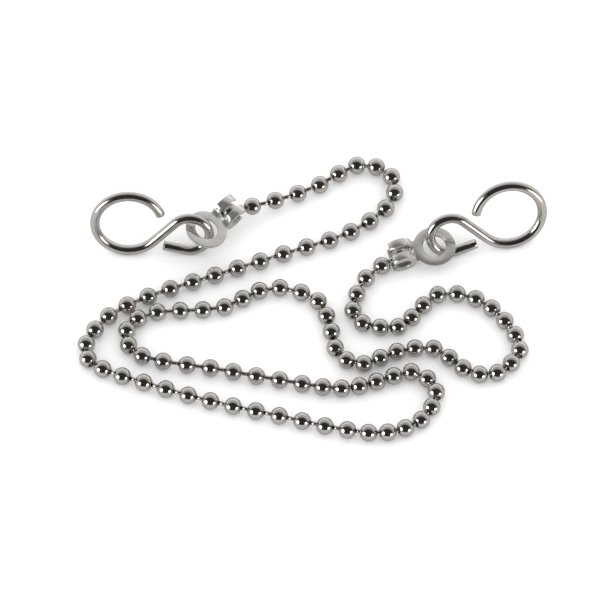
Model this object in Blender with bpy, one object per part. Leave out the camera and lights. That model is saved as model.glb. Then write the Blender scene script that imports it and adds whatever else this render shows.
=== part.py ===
"""A nickel-plated ball chain, laid loosely on a flat surface, with an S-hook on each end.

Each end of the chain is clasped by a stamped ring end: a flat ring whose two tabs curl into hoops round
the last bead. The beads are hollow, and the pins between them have heads that stay inside. Most links here
are two beads and two pins, and each pin head sits in the socket of the next link's first bead.
Lengths are in millimetres in the constants and become metres in the meshes. +X is right, +Z is up.
"""

import math

import bmesh
import bpy
import numpy as np
from mathutils import Matrix, Vector

MM = 0.001

# beads and pins
BEAD_R = 1.6
BEAD_INSIDE_R = 1.32
HOLE_R = 0.58
SHANK_R = 0.38
HEAD_R = 0.62
HEAD_FROM_BEAD = 0.35       # how far a pin's head sits from the centre of the bead that holds it
PIVOT_FROM_BEAD = 1.3       # a pin tilts about the middle of the hole it comes out of
SEATED = 0.2                # how far a fixed pin goes into the wall of the bead it is fixed to
SEATED_FAR = 0.4            # and into the wall of the bead at its other end
BEAD_SIDES = 8
PIN_SIDES = 6

# stamped ring end
SHEET = 0.45
RING_R = 3.85
RING_HOLE_R = 2.1
RING_FROM_BEAD = 6.3        # ring centre to clasped bead
HOOP_R = 2.45
HOOP_INNER = 0.6            # the two hoops leave twice this between them
HOOP_OUTER = 2.1
LIP_R = 1.35                # the lip turned in at each hoop's outer edge
LIP = 0.35                  # how thick the lip is
TAB_INSET = 0.07            # each tab is this much narrower than its hoop, on both sides
TAB_THINNER = 0.02          # and this much thinner than the sheet, on both faces
TAB_IN_RING = 0.95          # how far each tab runs into the ring
MOUTH_HALF = 1.4            # half the height of the hoops' mouth on the chain side
MOUTH_DEPTH = 1.05          # how far from the clasped bead's centre the mouth begins
CLEAR = 1.0                 # how far the mouth's cutter stands out past the hoops
RING_SIDES = 24
HOOP_SIDES = 16

# S-hook, bent from one wire
WIRE_R = 0.88
BIG_LOOP_R = 6.1
SMALL_LOOP_R = 3.6
LOOPS_APART = 11.3
SMALL_LOOP_TURN = 240       # degrees that the small loop bends through before its straight tail
TAIL = 4.0
BEND_STEP = 14              # degrees of bend from one cross-section of the wire to the next
WIRE_SIDES = 8

# The chain's route over the surface: x, y and how far apart the beads lie there. Beads are drawn out to
# the full length of their pins on the straights and pushed together in the bends.
ROUTE = [
    (-15.7, 17.05, 4.5), (-7.1, 20.7, 4.55), (0.8, 24.6, 4.4), (7.4, 28.8, 3.65), (11.1, 28.4, 3.6),
    (13.8, 26.2, 3.55), (14.3, 22.7, 3.7), (12.6, 19.3, 3.95), (6.2, 14.2, 4.25), (-6.1, 9.4, 4.5),
    (-18.4, 4.8, 4.3), (-30.3, 0.3, 4.3), (-37.5, -4.0, 3.95), (-41.4, -10.0, 3.35), (-41.0, -13.2, 3.3),
    (-38.5, -15.2, 3.7), (-30.9, -18.2, 4.2), (-19.0, -22.1, 4.2), (-6.9, -25.2, 4.3), (5.3, -28.2, 4.05),
    (12.6, -28.8, 3.35), (18.9, -26.1, 3.4), (21.6, -20.3, 3.3), (20.1, -17.4, 3.3), (17.3, -15.9, 3.3),
    (11.1, -17.9, 3.3), (4.9, -19.4, 3.3), (-6.5, -17.6, 4.25), (-18.7, -15.1, 4.2), (-27.3, -13.7, 4.35),
    (-31.3, -12.5, 3.65), (-33.7, -10.3, 3.3), (-34.1, -7.0, 3.3), (-32.3, -4.6, 3.3), (-29.2, -3.2, 4.05),
    (-16.5, -2.0, 3.9), (-10.6, 1.4, 3.45), (-6.9, 2.2, 4.1), (0.2, -0.5, 3.5), (2.7, -6.9, 3.6),
    (3.4, -10.6, 3.5), (5.4, -13.3, 3.3), (8.5, -14.2, 3.3), (14.4, -11.6, 3.3), (21.3, -10.9, 3.45),
    (26.2, -14.9, 3.3), (29.2, -16.4, 3.35), (32.6, -16.1, 3.3), (36.7, -11.3, 3.3), (34.2, -5.1, 3.6),
    (28.9, -0.2, 3.5), (22.1, 0.7, 3.55), (17.4, -4.1, 3.3), (15.0, -6.2, 3.3), (8.5, -5.5, 3.35),
    (6.7, -2.7, 3.45), (9.1, 4.3, 3.95), (12.05, 7.0, 3.9), (15.4, 8.63, 3.9),
]
BEADS = 103
TO_CENTRE = 0.5                     # moves the whole lay sideways, so that it is centred on the origin
LEFT_LIFT = (2.4, 1.6, 0.8, 0.2)    # how far the left hook holds up the beads nearest to it
RIGHT_LIFT = (1.07, 0.0)            # the right ring end rests on its hoops
ROOT_LINK = 26                      # the joints run outwards from this link to both ends

# how the ring ends lie: heading, rise and roll, in degrees
LEFT_RING = (228, 10, -12)
RIGHT_RING = (16, 0, 8)

# How the hooks lie: the big loop's foot, the heading from there to the small loop, how far the hook's plane
# leans up from the surface, which side it leans to, and how far the big loop's cut end is from the line
# between the loops. Angles are in degrees.
LEFT_HOOK = {"foot": (-33.9, 10.8), "heading": 0, "lean": 71, "side": 1, "open_angle": 31}
RIGHT_HOOK = {"foot": (35.4, 12.3), "heading": 190, "lean": 66, "side": -1, "open_angle": 24}


def steel(name, colour, roughness):
    material = bpy.data.materials.new(name)
    material.use_nodes = True
    shader = material.node_tree.nodes["Principled BSDF"]
    shader.inputs["Base Color"].default_value = (*colour, 1)
    shader.inputs["Metallic"].default_value = 1.0
    shader.inputs["Roughness"].default_value = roughness
    return material


def smooth_route(points, per_span=24):
    """A smooth curve through the route's points, as close-set samples of x, y and spacing."""
    p = np.array(points)
    p = np.vstack([2 * p[0] - p[1], p, 2 * p[-1] - p[-2]])
    samples = []
    for a, b, c, d in zip(p, p[1:], p[2:], p[3:]):
        knots = [0.0]
        for q, r in ((a, b), (b, c), (c, d)):
            knots.append(knots[-1] + math.sqrt(np.linalg.norm(r[:2] - q[:2])))
        t0, t1, t2, t3 = knots
        for t in np.linspace(t1, t2, per_span, endpoint=False):
            ab = (a * (t1 - t) + b * (t - t0)) / (t1 - t0)
            bc = (b * (t2 - t) + c * (t - t1)) / (t2 - t1)
            cd = (c * (t3 - t) + d * (t - t2)) / (t3 - t2)
            abc = (ab * (t2 - t) + bc * (t - t0)) / (t2 - t0)
            bcd = (bc * (t3 - t) + cd * (t - t1)) / (t3 - t1)
            samples.append((abc * (t2 - t) + bcd * (t - t1)) / (t2 - t1))
    samples.append(p[-2])
    return np.array(samples)


def bead_centres():
    """Where the beads lie, in mm. The spacings are scaled together so that the last bead ends the route."""
    route = smooth_route(ROUTE)
    steps = np.linalg.norm(np.diff(route[:, :2], axis=0), axis=1)
    # each bead takes up one spacing, so a bead's number is the integral of 1 / spacing along the route
    number = np.concatenate([[0], np.cumsum(steps * 2 / (route[1:, 2] + route[:-1, 2]))])
    number *= (BEADS - 1) / number[-1]
    index = np.arange(BEADS)
    lift = np.zeros(BEADS)
    lift[:len(LEFT_LIFT)] = LEFT_LIFT
    lift[::-1][:len(RIGHT_LIFT)] = RIGHT_LIFT
    x = np.interp(index, number, route[:, 0]) + TO_CENTRE
    y = np.interp(index, number, route[:, 1])
    return [Vector(c) for c in zip(x, y, BEAD_R + lift)]


def frame_along(origin, z_axis, up=(0, 0, 1)):
    """A matrix at origin whose z axis points along z_axis."""
    z = Vector(z_axis).normalized()
    x = Vector(up).cross(z)
    x = x.normalized() if x.length > 1e-6 else Vector((1, 0, 0))
    return Matrix.Translation(origin) @ Matrix((x, z.cross(x), z)).transposed().to_4x4()


def lathe(profile, sides, place):
    """A closed solid turned from (radius, height) points round place's z axis. Points on it are poles."""
    bm = bmesh.new()
    rings = []
    for r, h in profile:
        if r < 1e-6:
            rings.append([bm.verts.new(place @ Vector((0, 0, h)))])
            continue
        rings.append([
            bm.verts.new(place @ Vector((r * math.cos(a), r * math.sin(a), h)))
            for a in (2 * math.pi * (k + 0.5) / sides for k in range(sides))
        ])
    if len(rings[0]) > 1:
        rings.append(rings[0])
    for low, high in zip(rings, rings[1:]):
        for k in range(sides if len(low) + len(high) > 2 else 0):
            one, other = k % len(low), (k + 1) % len(low)
            corners = [low[one], low[other], high[(k + 1) % len(high)], high[k % len(high)]]
            bm.faces.new(dict.fromkeys(corners))
    bmesh.ops.recalc_face_normals(bm, faces=bm.faces)
    return bm


def arc(radius, start, end, count, height=0.0):
    """(radius, height) points on a ball's outline, from angle start to end in degrees off the z axis."""
    points = []
    for a in np.radians(np.linspace(start, end, count)):
        off_axis = radius * math.sin(a) if abs(math.sin(a)) > 1e-9 else 0.0
        points.append((off_axis, height + radius * math.cos(a)))
    return points


def hole_angle(radius):
    return math.degrees(math.asin(HOLE_R / radius))


def hollow_bead(place):
    """A bead with a hole that faces along place's z axis."""
    outside = arc(BEAD_R, hole_angle(BEAD_R), 180, 5)
    inside = arc(BEAD_INSIDE_R, 180, hole_angle(BEAD_INSIDE_R), 4)
    return lathe(outside + inside, BEAD_SIDES, place)


def bead_with_pin(place, reach):
    """A bead whose pin runs out along place's z axis, to a head that is centred reach away."""
    root = math.degrees(math.asin(SHANK_R / BEAD_R))
    neck = math.degrees(math.asin(SHANK_R / HEAD_R))
    return lathe(arc(BEAD_R, 180, root, 5) + arc(HEAD_R, 180 - neck, 0, 4, reach), BEAD_SIDES, place)


def pin(start, end):
    length = (end - start).length
    profile = [(0, 0), (SHANK_R, 0), (SHANK_R, length), (0, length)]
    return lathe(profile, PIN_SIDES, frame_along(start, end - start))


def headed_pin(start, end):
    """A pin from a hollow bead's wall to a head inside the bead at end."""
    foot = BEAD_R - SEATED
    head = (end - start).length - HEAD_FROM_BEAD
    neck = math.degrees(math.asin(SHANK_R / HEAD_R))
    profile = [(0, foot), (SHANK_R, foot)] + arc(HEAD_R, 180 - neck, 0, 4, head)
    return lathe(profile, BEAD_SIDES, frame_along(start, end - start))


def temporary(bm):
    mesh = bpy.data.meshes.new("temporary")
    bm.to_mesh(mesh)
    bm.free()
    thing = bpy.data.objects.new("temporary", mesh)
    bpy.context.collection.objects.link(thing)
    return thing


def combine(first, others, operation):
    """The first solid joined to, or cut by, the others. The result is a bmesh, in mm like its sources."""
    base = temporary(first)
    tools = [temporary(other) for other in others]
    for tool in tools:
        modifier = base.modifiers.new("combine", "BOOLEAN")
        modifier.operation = operation
        modifier.object = tool
    mesh = bpy.data.meshes.new_from_object(base.evaluated_get(bpy.context.evaluated_depsgraph_get()))
    result = bmesh.new()
    result.from_mesh(mesh)
    for thing in (base, *tools):
        bpy.data.objects.remove(thing)
    bpy.data.meshes.remove(mesh)
    return result


def finish(name, bm, origin, material):
    """Makes a solid in mm into a named object in metres, with its origin on its joint."""
    bmesh.ops.remove_doubles(bm, verts=bm.verts, dist=0.002)
    bmesh.ops.dissolve_degenerate(bm, edges=bm.edges, dist=0.002)
    bmesh.ops.triangulate(bm, faces=bm.faces)
    to_origin = Matrix.Scale(MM, 4) @ Matrix.Translation(-Vector(origin))
    bmesh.ops.transform(bm, matrix=to_origin, verts=bm.verts)
    mesh = bpy.data.meshes.new(name)
    bm.to_mesh(mesh)
    bm.free()
    mesh.materials.append(material)
    mesh.shade_smooth()
    mesh.set_sharp_from_angle(angle=math.radians(50))
    thing = bpy.data.objects.new(name, mesh)
    thing.location = Vector(origin) * MM
    bpy.context.collection.objects.link(thing)
    return thing


def toward(start, end, distance):
    return start + (end - start).normalized() * distance


def link(name, beads, before, after, pivot, material):
    """A link: a hollow first bead, its pin to the next bead, and a headed pin into the link after."""
    first, last = beads[0], beads[-1]
    solid = hollow_bead(frame_along(first, before - first))
    extra = []
    for one, other in zip(beads, beads[1:]):
        extra.append(pin(toward(one, other, BEAD_R - SEATED), toward(other, one, BEAD_R - SEATED_FAR)))
    if len(beads) > 1:
        head = (after - last).length - HEAD_FROM_BEAD
        extra.append(bead_with_pin(frame_along(last, after - last), head))
    else:
        extra.append(headed_pin(first, after))
    finish(name, combine(solid, extra, "UNION"), pivot, material)


def ring_end_frame(bead, heading, rise, roll):
    """x runs from the clasped bead to the ring, y along the hoops' axis, z out of the ring's face."""
    h, r, t = map(math.radians, (heading, rise, roll))
    x = Vector((math.cos(r) * math.cos(h), math.cos(r) * math.sin(h), math.sin(r)))
    level = Vector((-math.sin(h), math.cos(h), 0))
    y = math.cos(t) * level + math.sin(t) * x.cross(level)
    return Matrix.Translation(bead) @ Matrix((x, y, x.cross(y))).transposed().to_4x4()


def box(low, high, place):
    bm = bmesh.new()
    size = Vector(high) - Vector(low)
    middle = (Vector(high) + Vector(low)) / 2
    here = place @ Matrix.Translation(middle)
    bmesh.ops.create_cube(bm, size=1, matrix=here @ Matrix.Diagonal((*size, 1)))
    return bm


def ring_end(name, place, material):
    """One stamping: the flat ring, its two tabs, and the hoop that each tab curls into."""
    half = SHEET / 2
    at_ring = place @ Matrix.Translation((RING_FROM_BEAD, 0, 0))
    washer = [(RING_HOLE_R, -half), (RING_R, -half), (RING_R, half), (RING_HOLE_R, half)]
    wall = HOOP_R - SHEET
    hoop = [
        (wall, HOOP_INNER), (HOOP_R, HOOP_INNER), (HOOP_R, HOOP_OUTER),
        (LIP_R, HOOP_OUTER), (LIP_R, HOOP_OUTER - LIP), (wall, HOOP_OUTER - LIP),
    ]
    near, far = HOOP_R - half, RING_FROM_BEAD - RING_R + TAB_IN_RING
    thick = half - TAB_THINNER
    solids = []
    for side in (1, -1):
        inner, outer = sorted((side * (HOOP_INNER + TAB_INSET), side * (HOOP_OUTER - TAB_INSET)))
        solids.append(box((near, inner, -thick), (far, outer, thick), place))
        solids.append(lathe(hoop, HOOP_SIDES, place @ Matrix.Rotation(-side * math.pi / 2, 4, "X")))
    whole = combine(lathe(washer, RING_SIDES, at_ring), solids, "UNION")
    mouth = box(
        (-HOOP_R - CLEAR, -HOOP_OUTER - CLEAR, -MOUTH_HALF),
        (-MOUTH_DEPTH, HOOP_OUTER + CLEAR, MOUTH_HALF), place)
    return finish(name, combine(whole, [mouth], "DIFFERENCE"), place.translation, material)


def hook_line(open_angle):
    """The wire's centreline in its own plane, cut end to cut end. Both loops stand on the line w = 0."""
    drop = BIG_LOOP_R - SMALL_LOOP_R
    tilt = -math.degrees(math.asin(drop / LOOPS_APART))
    middle = tilt + math.degrees(math.asin((BIG_LOOP_R + SMALL_LOOP_R) / LOOPS_APART))
    small = (math.sqrt(LOOPS_APART ** 2 - drop ** 2), SMALL_LOOP_R)
    turns = [
        ((0, BIG_LOOP_R), BIG_LOOP_R, tilt + open_angle, middle + 270),
        (small, SMALL_LOOP_R, middle + 90, middle + 90 - SMALL_LOOP_TURN),
    ]
    line = []
    for (u, w), radius, start, end in turns:
        count = round(abs(end - start) / BEND_STEP)
        for a in np.radians(np.linspace(start, end, count + 1)):
            line.append(Vector((u + radius * math.cos(a), w + radius * math.sin(a), 0)))
    along = (line[-1] - Vector((*small, 0))).cross(Vector((0, 0, 1))).normalized()
    line.append(line[-1] + TAIL * along)
    return line


def hook_frame(foot, heading, lean, side):
    """The hook's plane, standing on its foot. u runs from the big loop to the small one."""
    h, a = math.radians(heading), math.radians(lean)
    u = Vector((math.cos(h), math.sin(h), 0))
    away = side * Vector((0, 0, 1)).cross(u)
    w = math.cos(a) * away + math.sin(a) * Vector((0, 0, 1))
    origin = (foot[0] + TO_CENTRE, foot[1], WIRE_R)
    return Matrix.Translation(origin) @ Matrix((u, w, u.cross(w))).transposed().to_4x4()


def hook(name, foot, heading, lean, side, open_angle, ring, material):
    """An S-hook: a round wire swept along its centreline. Its joint is where it passes through the ring."""
    place = hook_frame(foot, heading, lean, side)
    line = hook_line(open_angle)
    normal = Vector((0, 0, 1))
    bm = bmesh.new()
    rings = []
    for k, point in enumerate(line):
        along = (line[min(k + 1, len(line) - 1)] - line[max(k - 1, 0)]).normalized()
        across = along.cross(normal)
        ring_verts = []
        for n in range(WIRE_SIDES):
            a = 2 * math.pi * (n + 0.5) / WIRE_SIDES
            spoke = math.cos(a) * across + math.sin(a) * normal
            ring_verts.append(bm.verts.new(place @ (point + WIRE_R * spoke)))
        rings.append(ring_verts)
    for low, high in zip(rings, rings[1:]):
        for k in range(WIRE_SIDES):
            after = (k + 1) % WIRE_SIDES
            bm.faces.new([low[k], low[after], high[after], high[k]])
    bm.faces.new(rings[0])
    bm.faces.new(rings[-1])
    bmesh.ops.recalc_face_normals(bm, faces=bm.faces)
    centre = ring @ Vector((RING_FROM_BEAD, 0, 0))
    pivot = min((place @ point for point in line), key=lambda p: (p - centre).length)
    return finish(name, bm, pivot, material)


def main():
    for thing in list(bpy.data.objects):
        bpy.data.objects.remove(thing)
    nickel = steel("nickel_plate", (0.72, 0.69, 0.66), 0.12)
    wire = steel("wire_plate", (0.68, 0.66, 0.63), 0.16)
    beads = bead_centres()
    # a joint's centre is in the hole that the pin from each even bead goes into
    holes = {k: toward(beads[k], beads[k - 1], PIVOT_FROM_BEAD) for k in range(1, BEADS)}

    left_ring = ring_end_frame(beads[0], *LEFT_RING)
    right_ring = ring_end_frame(beads[-1], *RIGHT_RING)
    hook("left_s_hook", **LEFT_HOOK, ring=left_ring, material=wire)
    ring_end("left_ring_end", left_ring, nickel)
    reach = (beads[1] - beads[0]).length - HEAD_FROM_BEAD
    left_end = bead_with_pin(frame_along(beads[0], beads[1] - beads[0]), reach)
    finish("left_end_bead", left_end, holes[1], nickel)

    for number, k in enumerate(range(1, BEADS - 1, 2), start=1):
        after = min(k + 2, BEADS - 1)
        pivot = holes[after] if number < ROOT_LINK else holes[k]
        link(f"link_{number:02d}", beads[k:after], beads[k - 1], beads[after], pivot, nickel)

    right_end = hollow_bead(frame_along(beads[-1], beads[-2] - beads[-1]))
    finish("right_end_bead", right_end, holes[BEADS - 1], nickel)
    ring_end("right_ring_end", right_ring, nickel)
    hook("right_s_hook", **RIGHT_HOOK, ring=right_ring, material=wire)


main()
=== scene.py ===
"""A nickel-plated ball chain with a stamped ring end and an S-hook on each end, laid loosely on a pale table.

The frame gives the bodies. Each bead, ring end and hook here is a finished piece that stands for its plain
solid and moves with the same body. Sizes are in millimetres and become metres in the meshes.
"""

import math

import bmesh
import bpy
import numpy as np
from mathutils import Matrix, Vector


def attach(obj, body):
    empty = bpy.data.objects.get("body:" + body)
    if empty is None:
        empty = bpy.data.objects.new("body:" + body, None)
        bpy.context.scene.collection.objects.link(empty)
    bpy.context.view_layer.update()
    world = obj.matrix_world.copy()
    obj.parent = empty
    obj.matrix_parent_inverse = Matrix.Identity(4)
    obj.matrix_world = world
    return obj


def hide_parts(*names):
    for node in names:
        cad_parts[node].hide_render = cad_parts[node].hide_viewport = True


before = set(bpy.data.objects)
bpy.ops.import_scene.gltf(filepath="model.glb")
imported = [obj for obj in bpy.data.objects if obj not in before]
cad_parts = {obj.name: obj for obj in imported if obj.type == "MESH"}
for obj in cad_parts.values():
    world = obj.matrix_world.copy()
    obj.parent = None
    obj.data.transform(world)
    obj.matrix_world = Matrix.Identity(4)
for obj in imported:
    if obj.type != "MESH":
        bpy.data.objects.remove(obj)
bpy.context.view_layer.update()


# The camera looks down on the table from the front at a steep angle, from far enough off that near and far
# beads come out the same size.
MM = 0.001
CAMERA_RISE = math.radians(57)
CAMERA_AWAY = 2.0
LOOKS_AT = Vector((-1.12, -0.95, 0)) * MM
FIELD = 111.0 * MM
front = Vector((0, -math.cos(CAMERA_RISE), math.sin(CAMERA_RISE)))
lens = bpy.data.cameras.new("camera")
lens.sensor_width = 36
lens.lens = lens.sensor_width * CAMERA_AWAY / FIELD
lens.clip_end = 20
camera = bpy.data.objects.new("camera", lens)
camera.location = LOOKS_AT + CAMERA_AWAY * front
camera.rotation_euler = front.to_track_quat("Z", "Y").to_euler()
bpy.context.scene.collection.objects.link(camera)
bpy.context.scene.camera = camera
bpy.context.scene.view_settings.view_transform = "Standard"


# A plain white table top under an even white dome, bright enough to wash out all but the closest shadows. The
# metal mirrors a room instead: pale ceiling and far wall, dark in front, a soft lamp low down on each side,
# and the table top in the grey shade that it has right under an object.
TABLE_SIZE = 12                                     # in metres
TABLE_TONE = 0.92
TABLE_SHADE = 0.42
TABLE_ROUGHNESS = 0.9
DOME = 1.4
CEILING = 0.44
FAR_WALL = 1.15
WALL_EDGE = (0.3, 0.95)                             # squared reach where the wall starts and is full
DARK_ROOM = 0.03
DARK_OVAL = ((-0.05, -0.28), (0.7, 0.7), 0.35)      # centre, size and softness on the ball
LAMP = 3.6
LEFT_LAMP = ((-0.5, -0.13), (0.15, 0.18), 0.4)
RIGHT_LAMP = ((0.45, -0.32), (0.13, 0.18), 0.4)


class Wire:
    """An output in a node tree. Arithmetic on it adds Math nodes, and node() adds any other kind."""

    def __init__(self, tree, socket=None):
        self.tree = tree
        self.socket = socket

    def node(self, kind, settings=(), inputs=(), out=0):
        made = self.tree.nodes.new(kind)
        for name, value in dict(settings).items():
            setattr(made, name, value)
        for name, value in dict(inputs).items():
            if isinstance(value, Wire):
                self.tree.links.new(value.socket, made.inputs[name])
            else:
                made.inputs[name].default_value = value
        return Wire(self.tree, made.outputs[out] if len(made.outputs) else None)

    def maths(self, operation, first, second=0.0):
        return self.node("ShaderNodeMath", {"operation": operation}, {0: first, 1: second})

    def vectors(self, operation, first, second=(0, 0, 0), out=0):
        return self.node("ShaderNodeVectorMath", {"operation": operation}, {0: first, 1: second}, out)

    def fade(self, clear, full):
        """0 where the value is at clear, 1 where it is at full, and smooth between."""
        ends = {"Value": self, "From Min": clear, "From Max": full}
        return self.node("ShaderNodeMapRange", {"interpolation_type": "SMOOTHSTEP"}, ends)

    def __add__(self, other):
        return self.maths("ADD", self, other)

    def __radd__(self, other):
        return self.maths("ADD", other, self)

    def __sub__(self, other):
        return self.maths("SUBTRACT", self, other)

    def __rsub__(self, other):
        return self.maths("SUBTRACT", other, self)

    def __mul__(self, other):
        return self.maths("MULTIPLY", self, other)

    def __rmul__(self, other):
        return self.maths("MULTIPLY", other, self)

    def __truediv__(self, other):
        return self.maths("DIVIDE", self, other)

    def __pow__(self, other):
        return self.maths("POWER", self, other)

    def __gt__(self, other):
        return self.maths("GREATER_THAN", self, other)

    def __abs__(self):
        return self.maths("ABSOLUTE", self)


table_white = bpy.data.materials.new("white_table")
table_white.use_nodes = True
surface = table_white.node_tree.nodes["Principled BSDF"]
surface.inputs["Base Color"].default_value = (TABLE_TONE, TABLE_TONE, TABLE_TONE, 1)
surface.inputs["Roughness"].default_value = TABLE_ROUGHNESS
surface.inputs["Specular IOR Level"].default_value = 0.0
paint = Wire(table_white.node_tree)
white = Wire(paint.tree, surface.outputs[0])
shade = paint.node("ShaderNodeBsdfDiffuse", inputs={"Color": (TABLE_SHADE, TABLE_SHADE, TABLE_SHADE, 1)})
in_metal = paint.node("ShaderNodeLightPath", out="Is Glossy Ray")
either = paint.node("ShaderNodeMixShader", inputs={0: in_metal, 1: white, 2: shade})
paint.tree.links.new(either.socket, paint.tree.nodes["Material Output"].inputs["Surface"])
bm = bmesh.new()
bmesh.ops.create_grid(bm, x_segments=1, y_segments=1, size=TABLE_SIZE / 2)
top = bpy.data.meshes.new("table_top")
bm.to_mesh(top)
bm.free()
top.materials.append(table_white)
table = bpy.data.objects.new("table_top", top)
bpy.context.scene.collection.objects.link(table)

world = bpy.data.worlds.new("studio")
world.use_nodes = True
world.cycles.sampling_method = "NONE"
world.node_tree.nodes.clear()
room = Wire(world.node_tree)
# a direction is named by the point of a ball where it shows: how far right and how far up from the middle
heading = room.node("ShaderNodeTexCoord", out="Generated")
facing = room.vectors("NORMALIZE", room.vectors("ADD", heading, front))
right = room.vectors("DOT_PRODUCT", facing, (1, 0, 0), out="Value")
up = room.vectors("DOT_PRODUCT", facing, front.cross((1, 0, 0)), out="Value")


def oval(centre, size, softness):
    """1 inside an oval on the ball, 0 outside it."""
    reach = ((right - centre[0]) / size[0]) ** 2 + ((up - centre[1]) / size[1]) ** 2
    return reach.fade(1 + softness, 1 - softness)


dark = oval(*DARK_OVAL)
lamps = oval(*LEFT_LAMP) + oval(*RIGHT_LAMP)
pale = CEILING + (FAR_WALL - CEILING) * (right * right + up * up).fade(*WALL_EDGE)
glow = pale + (DARK_ROOM - pale) * dark + LAMP * lamps
in_metal = room.node("ShaderNodeLightPath", out="Is Glossy Ray")
strength = DOME + (glow - DOME) * in_metal
light = room.node("ShaderNodeBackground", inputs={"Color": (1, 1, 1, 1), "Strength": strength})
light.node("ShaderNodeOutputWorld", inputs={"Surface": light})
bpy.context.scene.world = world


# The chain as it lies: x, y and bead spacing along its way over the table. The hook at the left holds the
# first beads up, and the ring end at the right holds up the last one.
ROUTE = [
    (-15.7, 17.05, 4.5), (-7.1, 20.7, 4.55), (0.8, 24.6, 4.4), (7.4, 28.8, 3.65), (11.1, 28.4, 3.6),
    (13.8, 26.2, 3.55), (14.3, 22.7, 3.7), (12.6, 19.3, 3.95), (6.2, 14.2, 4.25), (-6.1, 9.4, 4.5),
    (-18.4, 4.8, 4.3), (-30.3, 0.3, 4.3), (-37.5, -4.0, 3.95), (-41.4, -10.0, 3.35), (-41.0, -13.2, 3.3),
    (-38.5, -15.2, 3.7), (-30.9, -18.2, 4.2), (-19.0, -22.1, 4.2), (-6.9, -25.2, 4.3), (5.3, -28.2, 4.05),
    (12.6, -28.8, 3.35), (18.9, -26.1, 3.4), (21.6, -20.3, 3.3), (20.1, -17.4, 3.3), (17.3, -15.9, 3.3),
    (11.1, -17.9, 3.3), (4.9, -19.4, 3.3), (-6.5, -17.6, 4.25), (-18.7, -15.1, 4.2), (-27.3, -13.7, 4.35),
    (-31.3, -12.5, 3.65), (-33.7, -10.3, 3.3), (-34.1, -7.0, 3.3), (-32.3, -4.6, 3.3), (-29.2, -3.2, 4.05),
    (-16.5, -2.0, 3.9), (-10.6, 1.4, 3.45), (-6.9, 2.2, 4.1), (0.2, -0.5, 3.5), (2.7, -6.9, 3.6),
    (3.4, -10.6, 3.5), (5.4, -13.3, 3.3), (8.5, -14.2, 3.3), (14.4, -11.6, 3.3), (21.3, -10.9, 3.45),
    (26.2, -14.9, 3.3), (29.2, -16.4, 3.35), (32.6, -16.1, 3.3), (36.7, -11.3, 3.3), (34.2, -5.1, 3.6),
    (28.9, -0.2, 3.5), (22.1, 0.7, 3.55), (17.4, -4.1, 3.3), (15.0, -6.2, 3.3), (8.5, -5.5, 3.35),
    (6.7, -2.7, 3.45), (9.1, 4.3, 3.95), (12.05, 7.0, 3.9), (15.4, 8.63, 3.9),
]
BEADS = 103
BEAD_R = 1.6
TO_CENTRE = 0.5
LEFT_LIFT = (2.4, 1.6, 0.8, 0.2)
RIGHT_LIFT = (1.07, 0.0)
PER_SPAN = 24


def smooth_route(points):
    """A smooth curve through the route's points, as close-set samples of x, y and spacing."""
    p = np.array(points)
    p = np.vstack([2 * p[0] - p[1], p, 2 * p[-1] - p[-2]])
    samples = []
    for a, b, c, d in zip(p, p[1:], p[2:], p[3:]):
        t0 = 0.0
        t1 = t0 + math.sqrt(np.linalg.norm(b[:2] - a[:2]))
        t2 = t1 + math.sqrt(np.linalg.norm(c[:2] - b[:2]))
        t3 = t2 + math.sqrt(np.linalg.norm(d[:2] - c[:2]))
        for t in np.linspace(t1, t2, PER_SPAN, endpoint=False):
            ab = (a * (t1 - t) + b * (t - t0)) / (t1 - t0)
            bc = (b * (t2 - t) + c * (t - t1)) / (t2 - t1)
            cd = (c * (t3 - t) + d * (t - t2)) / (t3 - t2)
            abc = (ab * (t2 - t) + bc * (t - t0)) / (t2 - t0)
            bcd = (bc * (t3 - t) + cd * (t - t1)) / (t3 - t1)
            samples.append((abc * (t2 - t) + bcd * (t - t1)) / (t2 - t1))
    samples.append(p[-2])
    return np.array(samples)


route = smooth_route(ROUTE)
steps = np.linalg.norm(np.diff(route[:, :2], axis=0), axis=1)
# each bead takes up one spacing, so a bead's number is the integral of 1 / spacing along the route
number = np.concatenate([[0], np.cumsum(steps * 2 / (route[1:, 2] + route[:-1, 2]))])
number *= (BEADS - 1) / number[-1]
lift = np.zeros(BEADS)
lift[:len(LEFT_LIFT)] = LEFT_LIFT
lift[::-1][:len(RIGHT_LIFT)] = RIGHT_LIFT
bead_x = np.interp(np.arange(BEADS), number, route[:, 0]) + TO_CENTRE
bead_y = np.interp(np.arange(BEADS), number, route[:, 1])
beads = [Vector(c) for c in zip(bead_x, bead_y, BEAD_R + lift)]


# Bright nickel on rolled steel: an even mirror with a slightly warm tone, finely scuffed from handling. Each
# bead is rolled up from strip, so a hairline seam joins its holes. By the holes, where beads meet, the plate
# is rougher and its colour is darkened as painted shade.
NICKEL = (0.8, 0.765, 0.73, 1)
NICKEL_DULL_AND_SHADE = (0.5, 0.47, 0.44, 1)
CLOUD_SCALE = 420
FINE_SCALE = 2600
SEAM = (0.045, 0.012)       # where the seam begins to show and where it is full, in bead radii
HOLE_SHADE_AND_DULL = (0.83, 0.92)    # how far from the bead's waist the painted shade and the rougher plate begin and are full, in bead radii
BEAD_ROUGHNESS = 0.075
SEAM_DEPTH = 0.02


def plating(name):
    """A plated metal's material and shader, with a cloudy wear and a fine grain to build its looks from."""
    material = bpy.data.materials.new(name)
    material.use_nodes = True
    shader = material.node_tree.nodes["Principled BSDF"]
    shader.inputs["Metallic"].default_value = 1.0
    metal = Wire(material.node_tree)
    here = metal.node("ShaderNodeTexCoord", out="Object")
    cloud = metal.node("ShaderNodeTexNoise", inputs={"Vector": here, "Scale": CLOUD_SCALE, "Detail": 3})
    fine = metal.node("ShaderNodeTexNoise", inputs={"Vector": here, "Scale": FINE_SCALE, "Detail": 2})
    return material, shader, metal, cloud.fade(0.35, 0.75), fine


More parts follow.
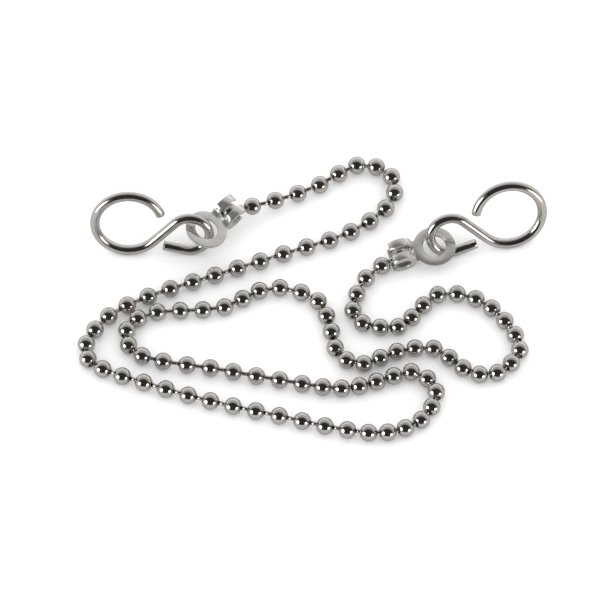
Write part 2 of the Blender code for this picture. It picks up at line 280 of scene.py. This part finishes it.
def plug(metal, shader, colour, roughness, bump):
    """Puts a colour, a roughness and a relief on a metal's shader."""
    metal.tree.links.new(colour.socket, shader.inputs["Base Color"])
    metal.tree.links.new(roughness.socket, shader.inputs["Roughness"])
    metal.tree.links.new(bump.socket, shader.inputs["Normal"])


def blend(metal, amount, one, other):
    """A colour between two."""
    return metal.node("ShaderNodeMix", {"data_type": "RGBA"}, {0: amount, 6: one, 7: other}, out=2)


bead_nickel, shader, metal, cloud, fine = plating("bead_nickel")
on_bead = metal.node("ShaderNodeAttribute", {"attribute_name": "on_bead"}, out="Vector")
split = metal.node("ShaderNodeSeparateXYZ", inputs={"Vector": on_bead})
side_x = split
side_y = Wire(metal.tree, split.socket.node.outputs["Y"])
side_z = Wire(metal.tree, split.socket.node.outputs["Z"])
seam = abs(side_y).fade(*SEAM) * (side_x > 0.0)
shade_and_dull_by_hole = abs(side_z).fade(*HOLE_SHADE_AND_DULL)
# round the holes, where the beads meet, the colour is darkened as painted shade
colour = blend(metal, cloud * 0.18 + shade_and_dull_by_hole * 0.6 + seam * 0.5, NICKEL, NICKEL_DULL_AND_SHADE)
rough = BEAD_ROUGHNESS + cloud * 0.035 + shade_and_dull_by_hole * 0.12 + seam * 0.1
relief = fine * 0.02 - seam
bump = metal.node("ShaderNodeBump", inputs={"Height": relief, "Strength": 0.25, "Distance": SEAM_DEPTH * MM})
plug(metal, shader, colour, rough, bump)


# The chain: hollow steel beads with a hole at each end, on thin pins whose round heads are loose inside them.
# A body holds one or two beads, each with the pin that leaves it for the next bead. Of a pin's two heads only
# the far one is made, because the near one never shows and the bead's inside has to stay free for the other.
SHELL = 0.28
HOLE_R = 0.65
PIN_R = 0.38
PIN_HEAD_R = 0.62
ROOT_INSET = 1.1            # from the centre of the bead that a pin leaves to where its shank begins
HEAD_INSET = 0.35           # from a pin head's centre to the centre of the bead that it is in
BEAD_SIDES = 26
BEAD_RINGS = 15
PIN_SIDES = 16
PIN_HEAD_SIDES = 14
PIN_HEAD_RINGS = 8
LEAST_PIN = 0.1             # the chain's last bead has no pin, and its stored pin is shorter than this
WELD = 0.01                 # points of the two balls and the hole walls this close together become one
tree = bpy.data.node_groups.new("beads_on_pins", "GeometryNodeTree")
sockets = {}
for name, kind in (
    ("Centres", "Geometry"), ("Bead radius", "Float"), ("Shell", "Float"), ("Hole radius", "Float"),
    ("Pin radius", "Float"), ("Head radius", "Float"), ("Root inset", "Float"), ("Head inset", "Float"),
    ("Sides", "Int"), ("Rings", "Int"), ("Seed", "Int"), ("Metal", "Material"),
):
    made = tree.interface.new_socket(name, in_out="INPUT", socket_type="NodeSocket" + kind)
    sockets[name] = made.identifier
tree.interface.new_socket("Geometry", in_out="OUTPUT", socket_type="NodeSocketGeometry")
gn = Wire(tree)
given = tree.nodes.new("NodeGroupInput")
size = {name: Wire(tree, given.outputs[name]) for name in sockets}

# one bead: an outer and an inner ball, open at both ends, joined by the walls of the two holes
place = gn.node("GeometryNodeInputPosition")
height = Wire(tree, gn.node("ShaderNodeSeparateXYZ", inputs={"Vector": place}).socket.node.outputs["Z"])
reach = gn.vectors("LENGTH", place, out="Value")
sine = size["Hole radius"] / size["Bead radius"]
open_end = abs(height) / reach > (1 - sine * sine) ** 0.5


def open_ball(radius):
    """A ball without the faces that lie over the two holes."""
    ball = gn.node("GeometryNodeMeshUVSphere", inputs={
        "Segments": size["Sides"], "Rings": size["Rings"], "Radius": radius})
    return gn.node("GeometryNodeDeleteGeometry", {"domain": "FACE"}, {
        "Geometry": ball, "Selection": open_end})


faces_beside = gn.node("GeometryNodeInputMeshEdgeNeighbors")
rim = gn.maths("LESS_THAN", faces_beside, 2)
inward = gn.vectors("SCALE", gn.vectors("NORMALIZE", place))
inward.socket.node.inputs["Scale"].default_value = -1
outer = gn.node("GeometryNodeExtrudeMesh", {"mode": "EDGES"}, {
    "Mesh": open_ball(size["Bead radius"]), "Selection": rim,
    "Offset": inward, "Offset Scale": size["Shell"]})
inner = gn.node("GeometryNodeFlipFaces", inputs={"Mesh": open_ball(size["Bead radius"] - size["Shell"])})
shell = gn.node("GeometryNodeJoinGeometry", inputs={"Geometry": outer})
tree.links.new(inner.socket, shell.socket.node.inputs["Geometry"])
shell = gn.node("GeometryNodeMergeByDistance", inputs={"Geometry": shell, "Distance": WELD * MM})
shell = gn.node("GeometryNodeStoreNamedAttribute", {"data_type": "FLOAT_VECTOR", "domain": "POINT"}, {
    "Geometry": shell, "Name": "on_bead", "Value": gn.vectors("NORMALIZE", place)})

# the beads on their centres, each turned a different way round its own axis
bead_axis = gn.node("GeometryNodeInputNamedAttribute", {"data_type": "FLOAT_VECTOR"}, {"Name": "bead_axis"})
pin = gn.node("GeometryNodeInputNamedAttribute", {"data_type": "FLOAT_VECTOR"}, {"Name": "pin"})
turn = gn.node("FunctionNodeRandomValue", {"data_type": "FLOAT"}, {
    2: 0.0, 3: 2 * math.pi, "Seed": size["Seed"]}, out=1)
roll = gn.node("FunctionNodeEulerToRotation", inputs={
    "Euler": gn.node("ShaderNodeCombineXYZ", inputs={"Z": turn})})
stand = gn.node("FunctionNodeAlignRotationToVector", {"axis": "Z"}, {"Rotation": roll, "Vector": bead_axis})
on_centres = gn.node("GeometryNodeInstanceOnPoints", inputs={
    "Points": size["Centres"], "Instance": shell, "Rotation": stand})

# the pins: a shank, and a round head at its far end
long = gn.vectors("LENGTH", pin, out="Value")
along = gn.vectors("NORMALIZE", pin)
lean = gn.node("FunctionNodeAlignRotationToVector", {"axis": "Z"}, {"Vector": along})


def moved(distance):
    """The bead centres that have a pin, moved along it."""
    shift = gn.vectors("SCALE", along)
    tree.links.new(distance.socket, shift.socket.node.inputs["Scale"])
    kept = gn.node("GeometryNodeSeparateGeometry", {"domain": "POINT"}, {
        "Geometry": size["Centres"], "Selection": long > LEAST_PIN * MM})
    return gn.node("GeometryNodeSetPosition", inputs={"Geometry": kept, "Offset": shift})


shank = gn.node("GeometryNodeMeshCylinder", inputs={
    "Vertices": PIN_SIDES, "Radius": size["Pin radius"], "Depth": 1.0})
shank = gn.node("GeometryNodeTransform", inputs={"Geometry": shank, "Translation": (0, 0, 0.5)})
depth = long - size["Head inset"] - size["Root inset"]
stretch = gn.node("ShaderNodeCombineXYZ", inputs={"X": 1.0, "Y": 1.0, "Z": depth})
head = gn.node("GeometryNodeMeshUVSphere", inputs={
    "Segments": PIN_HEAD_SIDES, "Rings": PIN_HEAD_RINGS, "Radius": size["Head radius"]})
parts = [
    on_centres,
    gn.node("GeometryNodeInstanceOnPoints", inputs={
        "Points": moved(size["Root inset"]), "Instance": shank, "Rotation": lean, "Scale": stretch}),
    gn.node("GeometryNodeInstanceOnPoints", inputs={
        "Points": moved(long - size["Head inset"]), "Instance": head}),
]
whole = gn.node("GeometryNodeJoinGeometry")
for part in reversed(parts):
    tree.links.new(part.socket, whole.socket.node.inputs["Geometry"])
whole = gn.node("GeometryNodeRealizeInstances", inputs={"Geometry": whole})
whole = gn.node("GeometryNodeSetShadeSmooth", inputs={"Geometry": whole})
whole = gn.node("GeometryNodeSetMaterial", inputs={"Geometry": whole, "Material": size["Metal"]})
gn.node("NodeGroupOutput", inputs={"Geometry": whole})


def chain_piece(name, first, last, body):
    """The beads first to last of the chain, each with its pin, as one mesh that moves with a body."""
    mesh = bpy.data.meshes.new(name)
    mesh.from_pydata([beads[k] * MM for k in range(first, last + 1)], [], [])
    axes = mesh.attributes.new("bead_axis", "FLOAT_VECTOR", "POINT")
    pins = mesh.attributes.new("pin", "FLOAT_VECTOR", "POINT")
    for n, k in enumerate(range(first, last + 1)):
        before = beads[max(k - 1, 0)]
        after = beads[min(k + 1, BEADS - 1)]
        axes.data[n].vector = (after - before).normalized()
        pins.data[n].vector = (after - beads[k]) * MM
    piece = bpy.data.objects.new(name, mesh)
    bpy.context.scene.collection.objects.link(piece)
    modifier = piece.modifiers.new("beads_on_pins", "NODES")
    modifier.node_group = tree
    for socket, value in (
        ("Bead radius", BEAD_R * MM), ("Shell", SHELL * MM), ("Hole radius", HOLE_R * MM),
        ("Pin radius", PIN_R * MM), ("Head radius", PIN_HEAD_R * MM), ("Root inset", ROOT_INSET * MM),
        ("Head inset", HEAD_INSET * MM), ("Sides", BEAD_SIDES), ("Rings", BEAD_RINGS), ("Seed", first),
        ("Metal", bead_nickel),
    ):
        modifier[sockets[socket]] = value
    ready = piece.evaluated_get(bpy.context.evaluated_depsgraph_get())
    finished = bpy.data.meshes.new_from_object(ready)
    piece.modifiers.remove(modifier)
    piece.data = finished
    bpy.data.meshes.remove(mesh)
    finished.name = name
    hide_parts(body)
    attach(piece, body)


chain_piece("left_end_bead_and_pin", 0, 0, "left_end_bead")
for k in range(1, BEADS - 2, 2):
    link = f"link_{(k + 1) // 2:02d}"
    chain_piece(link + "_beads", k, k + 1, link)
chain_piece("link_51_bead", BEADS - 2, BEADS - 2, "link_51")
chain_piece("right_end_bead_shell", BEADS - 1, BEADS - 1, "right_end_bead")


# Each ring end is one stamping of nickel-plated sheet: a flat ring, and two tabs curled into hoops that clasp
# the end bead from both sides. A lip turned in at each hoop's outer edge keeps the bead from slipping out.
SHEET = 0.45
RING_R = 3.85
RING_HOLE_R = 2.1
RING_FROM_BEAD = 6.3
HOOP_R = 2.45
HOOP_INNER = 0.6
HOOP_OUTER = 2.1
LIP_R = 1.35
LIP = 0.35
MOUTH_HALF = 1.4            # half the height of the mouth that the chain comes out of
EDGE = 0.1                  # how far the sheet's edges are rounded
EDGE_STEPS = 3
TAB_SHORT = 0.8             # how far a tab stops short of the ring's hole
TAB_NARROWER = 0.14         # a tab is this much narrower than its hoop, and
TAB_THINNER = 0.04          # this much thinner than the sheet
RING_SIDES = 96
HOOP_SIDES = 72
STAMPED_EDGE = 40           # an edge bent more than this, in degrees, stays sharp
LEFT_RING = (228, 10, -12)  # heading, rise and roll, in degrees
RIGHT_RING = (16, 0, 8)


def rounded(corners, radius):
    """A closed outline with every corner cut to a small arc."""
    points = []
    for before, corner, after in zip(corners[-1:] + corners[:-1], corners, corners[1:] + corners[:1]):
        corner = Vector(corner)
        start = corner + (Vector(before) - corner).normalized() * radius
        end = corner + (Vector(after) - corner).normalized() * radius
        points += [start, (start + end) / 4 + corner / 2, end]
    return points


def turned(outline, count, place, start=0.0, end=2 * math.pi):
    """A solid turned from a (radius, height) outline round place's z axis, all round or from start to end."""
    bm = bmesh.new()
    closed = end - start >= 2 * math.pi
    rings = []
    for a in np.linspace(start, end, count + 1)[:count if closed else count + 1]:
        corners = [Vector((r * math.cos(a), r * math.sin(a), h)) for r, h in outline]
        rings.append([bm.verts.new(place @ corner) for corner in corners])
    for one, other in zip(rings, rings[1:] + rings[:1] if closed else rings[1:]):
        for k in range(len(outline)):
            bm.faces.new([one[k - 1], one[k], other[k], other[k - 1]])
    if not closed:
        bm.faces.new(rings[0])
        bm.faces.new(rings[-1])
    bmesh.ops.recalc_face_normals(bm, faces=bm.faces)
    return bm


def joined(solids):
    """One mesh from overlapping solids, with nothing left inside."""
    things = []
    for bm in solids:
        mesh = bpy.data.meshes.new("blank")
        bm.to_mesh(mesh)
        bm.free()
        things.append(bpy.data.objects.new("blank", mesh))
        bpy.context.scene.collection.objects.link(things[-1])
    base, *tools = things
    for tool in tools:
        modifier = base.modifiers.new("join", "BOOLEAN")
        modifier.operation = "UNION"
        modifier.object = tool
    mesh = bpy.data.meshes.new_from_object(base.evaluated_get(bpy.context.evaluated_depsgraph_get()))
    for thing in things:
        bpy.data.meshes.remove(thing.data)
    return mesh


def ring_frame(bead, heading, rise, roll):
    """x runs from the clasped bead to the ring, y along the hoops' axis, z out of the ring's face."""
    h, r, t = map(math.radians, (heading, rise, roll))
    x = Vector((math.cos(r) * math.cos(h), math.cos(r) * math.sin(h), math.sin(r)))
    level = Vector((-math.sin(h), math.cos(h), 0))
    y = math.cos(t) * level + math.sin(t) * x.cross(level)
    return Matrix.Translation(bead) @ Matrix((x, y, x.cross(y))).transposed().to_4x4()


def ring_end(name, place, metal, body):
    """The ring, its two hoops and the tabs between them as one piece that moves with a body."""
    half = SHEET / 2
    flat = rounded([(RING_HOLE_R, -half), (RING_R, -half), (RING_R, half), (RING_HOLE_R, half)], EDGE)
    solids = [turned(flat, RING_SIDES, place @ Matrix.Translation((RING_FROM_BEAD, 0, 0)))]
    wall = HOOP_R - SHEET
    gap = math.asin(MOUTH_HALF / HOOP_R)
    for side in (1, -1):
        band = rounded([
            (wall, HOOP_INNER), (HOOP_R, HOOP_INNER), (HOOP_R, HOOP_OUTER),
            (LIP_R, HOOP_OUTER), (LIP_R, HOOP_OUTER - LIP), (wall, HOOP_OUTER - LIP)], EDGE)
        upright = place @ Matrix.Rotation(-side * math.pi / 2, 4, "X")
        solids.append(turned(band, HOOP_SIDES, upright, gap - math.pi, math.pi - gap))
        tab = bmesh.new()
        ends = (HOOP_R - SHEET / 2, RING_FROM_BEAD - RING_HOLE_R - TAB_SHORT)
        middle = ((ends[0] + ends[1]) / 2, side * (HOOP_INNER + HOOP_OUTER) / 2, 0)
        span = (ends[1] - ends[0], HOOP_OUTER - HOOP_INNER - TAB_NARROWER, SHEET - TAB_THINNER)
        bmesh.ops.create_cube(tab, size=1, matrix=Matrix.Translation(middle) @ Matrix.Diagonal((*span, 1)))
        bmesh.ops.bevel(tab, geom=tab.edges[:], offset=EDGE, segments=EDGE_STEPS, profile=0.5, affect="EDGES")
        bmesh.ops.transform(tab, matrix=place, verts=tab.verts)
        solids.append(tab)
    mesh = joined(solids)
    mesh.transform(Matrix.Scale(MM, 4))
    mesh.name = name
    mesh.materials.clear()
    mesh.materials.append(metal)
    mesh.shade_smooth()
    mesh.set_sharp_from_angle(angle=math.radians(STAMPED_EDGE))
    piece = bpy.data.objects.new(name, mesh)
    bpy.context.scene.collection.objects.link(piece)
    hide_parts(body)
    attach(piece, body)


# the ring sheet's nickel is lighter than the beads' nickel as a painted sheen, on a slightly rougher, less
# metallic plate
SHEET_NICKEL_WITH_PAINTED_SHEEN = (0.9, 0.875, 0.845, 1)
SHEET_METALLIC = 0.88
SHEET_ROUGHNESS = 0.13
GRAIN_DEPTH = 0.02
sheet_nickel, shader, metal, cloud, fine = plating("sheet_nickel")
shader.inputs["Metallic"].default_value = SHEET_METALLIC
colour = blend(metal, cloud * 0.2, SHEET_NICKEL_WITH_PAINTED_SHEEN, NICKEL_DULL_AND_SHADE)
bump = metal.node("ShaderNodeBump", inputs={"Height": fine, "Strength": 0.12, "Distance": GRAIN_DEPTH * MM})
plug(metal, shader, colour, SHEET_ROUGHNESS + cloud * 0.08, bump)
left_ring = ring_frame(beads[0], *LEFT_RING)
right_ring = ring_frame(beads[-1], *RIGHT_RING)
ring_end("left_ring_stamping", left_ring, sheet_nickel, "left_ring_end")
ring_end("right_ring_stamping", right_ring, sheet_nickel, "right_ring_end")


# Each S-hook is bent from one length of drawn steel wire, plated after it is bent. The big loop is left open,
# the small one closes on the ring, and both ends are cut square. Drawing leaves fine lines along the wire.
WIRE_R = 0.88
BIG_LOOP_R = 6.1
SMALL_LOOP_R = 3.6
LOOPS_APART = 11.3
SMALL_LOOP_TURN = 240
TAIL = 4.0
CUT = 0.07                  # how far the cut ends' edges are broken
WIRE_SIDES = 32
TURN_STEP = 3               # the loops have a ring of points about this often, in degrees
TAIL_STEPS = 6
CUT_EDGE = 50               # an edge bent more than this, in degrees, stays sharp
WIRE_TONE = (0.8, 0.77, 0.735, 1)
WIRE_ROUGHNESS = 0.1
DRAWN_STRETCH = (0.6, 34, 1)    # the drawing lines are long along the wire and close together round it
DRAWN_DEPTH = 0.03
CAP_SPREAD = 7              # the cut ends take up this small a part of the wire's pattern
LEFT_HOOK = {"foot": (-33.9, 10.8), "heading": 0, "lean": 71, "side": 1, "open_angle": 31}
RIGHT_HOOK = {"foot": (35.4, 12.3), "heading": 190, "lean": 66, "side": -1, "open_angle": 24}


def hook_line(open_angle):
    """The wire's centreline in its own plane, cut end to cut end. Both loops stand on the line y = 0."""
    drop = BIG_LOOP_R - SMALL_LOOP_R
    tilt = -math.degrees(math.asin(drop / LOOPS_APART))
    middle = tilt + math.degrees(math.asin((BIG_LOOP_R + SMALL_LOOP_R) / LOOPS_APART))
    small = (math.sqrt(LOOPS_APART ** 2 - drop ** 2), SMALL_LOOP_R)
    turns = [((0, BIG_LOOP_R), BIG_LOOP_R, tilt + open_angle, middle + 270),
             (small, SMALL_LOOP_R, middle + 90, middle + 90 - SMALL_LOOP_TURN)]
    line = []
    for (u, w), radius, start, end in turns:
        count = round(abs(end - start) / TURN_STEP)
        for a in np.radians(np.linspace(start, end, count + 1)):
            line.append(Vector((u + radius * math.cos(a), w + radius * math.sin(a), 0)))
    along = (line[-1] - Vector((*small, 0))).cross(Vector((0, 0, 1))).normalized()
    return line + [line[-1] + along * TAIL * n / TAIL_STEPS for n in range(1, TAIL_STEPS + 1)]


def hook(name, metal, body, foot, heading, lean, side, open_angle):
    """A hook that stands on its foot on the table, turned to a heading and leant from flat, in degrees."""
    heading = math.radians(heading)
    lean = math.radians(lean)
    upright = Vector((0, 0, 1))
    u = Vector((math.cos(heading), math.sin(heading), 0))
    w = math.cos(lean) * side * upright.cross(u) + math.sin(lean) * upright
    place = Matrix.Translation((foot[0] + TO_CENTRE, foot[1], WIRE_R))
    place = place @ Matrix((u, w, u.cross(w))).transposed().to_4x4()
    line = hook_line(open_angle)
    stations = [(p, WIRE_R) for p in line]
    first = (line[1] - line[0]).normalized()
    last = (line[-1] - line[-2]).normalized()
    stations = [(line[0], WIRE_R - CUT), (line[0] + first * CUT, WIRE_R)] + stations[1:-1]
    stations += [(line[-1] - last * CUT, WIRE_R), (line[-1], WIRE_R - CUT)]
    bm = bmesh.new()
    lines = bm.loops.layers.uv.new("wire")
    rings = []
    length = [0.0]
    for k, (point, radius) in enumerate(stations):
        along = (stations[min(k + 1, len(stations) - 1)][0] - stations[max(k - 1, 0)][0]).normalized()
        across = along.cross(upright)
        ring = []
        for n in range(WIRE_SIDES):
            t = 2 * math.pi * n / WIRE_SIDES
            spoke = math.cos(t) * across + math.sin(t) * upright
            ring.append(bm.verts.new(place @ (point + radius * spoke)))
        rings.append(ring)
        if k:
            length.append(length[-1] + (point - stations[k - 1][0]).length)
    for k, (low, high) in enumerate(zip(rings, rings[1:])):
        for n in range(WIRE_SIDES):
            face = bm.faces.new([low[n], low[(n + 1) % WIRE_SIDES], high[(n + 1) % WIRE_SIDES], high[n]])
            around = (n / WIRE_SIDES, (n + 1) / WIRE_SIDES, (n + 1) / WIRE_SIDES, n / WIRE_SIDES)
            for corner, v, d in zip(face.loops, around, (length[k], length[k], length[k + 1], length[k + 1])):
                corner[lines].uv = (d / (2 * math.pi * WIRE_R), v)
    for cap in (bm.faces.new(rings[0][::-1]), bm.faces.new(rings[-1])):
        for n, corner in enumerate(cap.loops):
            t = 2 * math.pi * n / WIRE_SIDES
            corner[lines].uv = (math.cos(t) / CAP_SPREAD, math.sin(t) / CAP_SPREAD)
    bmesh.ops.recalc_face_normals(bm, faces=bm.faces)
    bmesh.ops.transform(bm, matrix=Matrix.Scale(MM, 4), verts=bm.verts)
    mesh = bpy.data.meshes.new(name)
    bm.to_mesh(mesh)
    bm.free()
    mesh.materials.append(metal)
    mesh.shade_smooth()
    mesh.set_sharp_from_angle(angle=math.radians(CUT_EDGE))
    piece = bpy.data.objects.new(name, mesh)
    bpy.context.scene.collection.objects.link(piece)
    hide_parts(body)
    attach(piece, body)


wire_plate, shader, metal, cloud, fine = plating("wire_plate")
laid = metal.node("ShaderNodeUVMap", {"uv_map": "wire"})
laid = metal.vectors("MULTIPLY", laid, DRAWN_STRETCH)
drawn = metal.node("ShaderNodeTexNoise", inputs={"Vector": laid, "Scale": 1.6, "Detail": 4})
colour = blend(metal, cloud * 0.15 + drawn.fade(0.45, 0.75) * 0.18, WIRE_TONE, NICKEL_DULL_AND_SHADE)
relief = drawn + fine * 0.3
bump = metal.node("ShaderNodeBump", inputs={"Height": relief, "Strength": 0.12, "Distance": DRAWN_DEPTH * MM})
plug(metal, shader, colour, WIRE_ROUGHNESS + drawn * 0.06 + cloud * 0.04, bump)
hook("left_hook_wire", wire_plate, "left_s_hook", **LEFT_HOOK)
hook("right_hook_wire", wire_plate, "right_s_hook", **RIGHT_HOOK)
